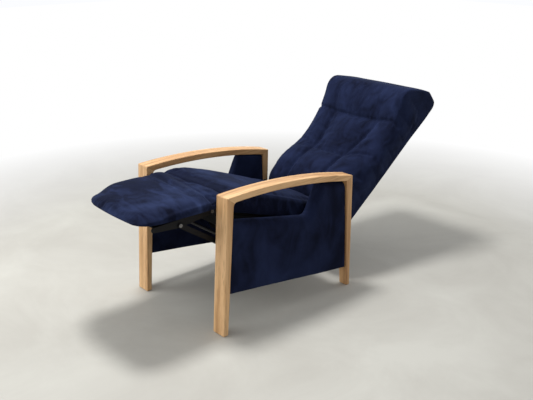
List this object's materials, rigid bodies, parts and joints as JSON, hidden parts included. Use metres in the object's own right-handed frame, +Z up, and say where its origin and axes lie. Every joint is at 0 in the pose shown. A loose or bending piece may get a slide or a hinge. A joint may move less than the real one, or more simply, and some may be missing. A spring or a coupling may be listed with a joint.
{
  "type": "push-back recliner",
  "caption": "Push-back recliner with arched oak arm frames, padded side panels, upholstered seat and back, and a fold-out legrest on a steel linkage, stored reclined.",
  "frame": {"origin": "middle of the reclined chair's overall box, on the floor", "axes": "+X towards the sitter's left arm, -Y is the way the sitter faces, +Z up; the longest side of the box lies along Y"},
  "size_m": [0.658, 1.7846, 0.8992],
  "materials": {
    "oiled_oak": "light natural oak, oiled, straight grain",
    "beech_dowel": "plain beech",
    "frame_beech": "sawn and planed beech",
    "stained_beech": "beech stained black",
    "panel_board": "plywood",
    "felt_glide": "hard plastic glide",
    "navy_suede": "navy suede-like cloth with a brushed nap",
    "dust_cloth": "black felted cloth",
    "elastic_webbing": "woven elastic webbing",
    "zinc_steel": "zinc-plated steel",
    "dark_steel": "black lacquered steel"
  },
  "bodies": {
    "base": {"left_front_leg": "oiled_oak", "left_arm_rail": "oiled_oak", "left_rear_leg": "oiled_oak", "right_front_leg": "oiled_oak", "right_arm_rail": "oiled_oak", "right_rear_leg": "oiled_oak", "corner_dowels": "beech_dowel", "panel_dowels": "beech_dowel", "foot_glides": "felt_glide", "left_panel_board": "panel_board", "right_panel_board": "panel_board", "left_side_panel": "navy_suede", "right_side_panel": "navy_suede", "left_base_plate": "dark_steel", "right_base_plate": "dark_steel", "cross_tube": "dark_steel", "rear_cross_rail": "frame_beech", "base_plate_screws": "zinc_steel", "seat_pivot_pins": "zinc_steel", "lift_link_pins": "zinc_steel"},
    "seat": {"left_seat_side_rail": "stained_beech", "right_seat_side_rail": "stained_beech", "seat_front_rail": "stained_beech", "seat_rear_rail": "stained_beech", "seat_corner_blocks": "stained_beech", "seat_webbing": "elastic_webbing", "seat_dust_cover": "dust_cloth", "seat_cushion": "navy_suede", "seat_bridge_pad": "navy_suede", "left_seat_plate": "dark_steel", "right_seat_plate": "dark_steel", "seat_front_tube": "dark_steel", "seat_plate_screws": "zinc_steel", "seat_plate_studs": "zinc_steel"},
    "back": {"left_back_post": "frame_beech", "right_back_post": "frame_beech", "back_bottom_rail": "frame_beech", "back_middle_rail": "frame_beech", "back_top_rail": "frame_beech", "back_webbing": "elastic_webbing", "back_cushion": "navy_suede", "back_cover": "navy_suede", "left_back_bracket": "dark_steel", "right_back_bracket": "dark_steel", "back_bracket_screws": "zinc_steel"},
    "legrest": {"legrest_board": "panel_board", "legrest_pad": "navy_suede", "legrest_dust_cover": "dust_cloth", "left_legrest_bracket": "dark_steel", "right_legrest_bracket": "dark_steel", "legrest_screws": "zinc_steel", "legrest_rivets": "zinc_steel"},
    "cranks": {"left_crank": "dark_steel", "right_crank": "dark_steel", "crank_rivets": "zinc_steel", "sync_bar": "dark_steel"},
    "couplers": {"left_coupler": "dark_steel", "right_coupler": "dark_steel"},
    "lift_links": {"left_lift_link": "dark_steel", "right_lift_link": "dark_steel"}
  },
  "joints": [
    {"name": "legrest_fold", "type": "hinge", "parent": "seat", "child": "legrest", "pos_m": [0, -0.547, 0.54], "axis": [1, 0, 0], "range_deg": [0, 80]},
    {"name": "seat_tilt", "type": "hinge", "parent": "base", "child": "seat", "pos_m": [0, 0.042, 0.32], "axis": [1, 0, 0], "range_deg": [0, 10]},
    {"name": "back_raise", "type": "hinge", "parent": "seat", "child": "back", "pos_m": [0, 0.146, 0.405], "axis": [1, 0, 0], "range_deg": [0, 24]},
    {"name": "crank_turn", "type": "hinge", "parent": "seat", "child": "cranks", "pos_m": [0, -0.342, 0.405], "axis": [1, 0, 0], "range_deg": [0, 80]},
    {"name": "coupler_turn", "type": "hinge", "parent": "cranks", "child": "couplers", "pos_m": [0, -0.507, 0.385], "axis": [1, 0, 0], "range_deg": [-80, 0]},
    {"name": "lift_link_turn", "type": "hinge", "parent": "base", "child": "lift_links", "pos_m": [0, -0.2378, 0.3567], "axis": [1, 0, 0], "range_deg": [0, 50.2]}
  ],
  "couplings": [
    {"joint": "seat_tilt", "follows": "legrest_fold", "ratio": 0.125},
    {"joint": "crank_turn", "follows": "legrest_fold", "ratio": 1},
    {"joint": "coupler_turn", "follows": "legrest_fold", "ratio": -1},
    {"joint": "lift_link_turn", "follows": "legrest_fold", "ratio": 0.6263}
  ]
}
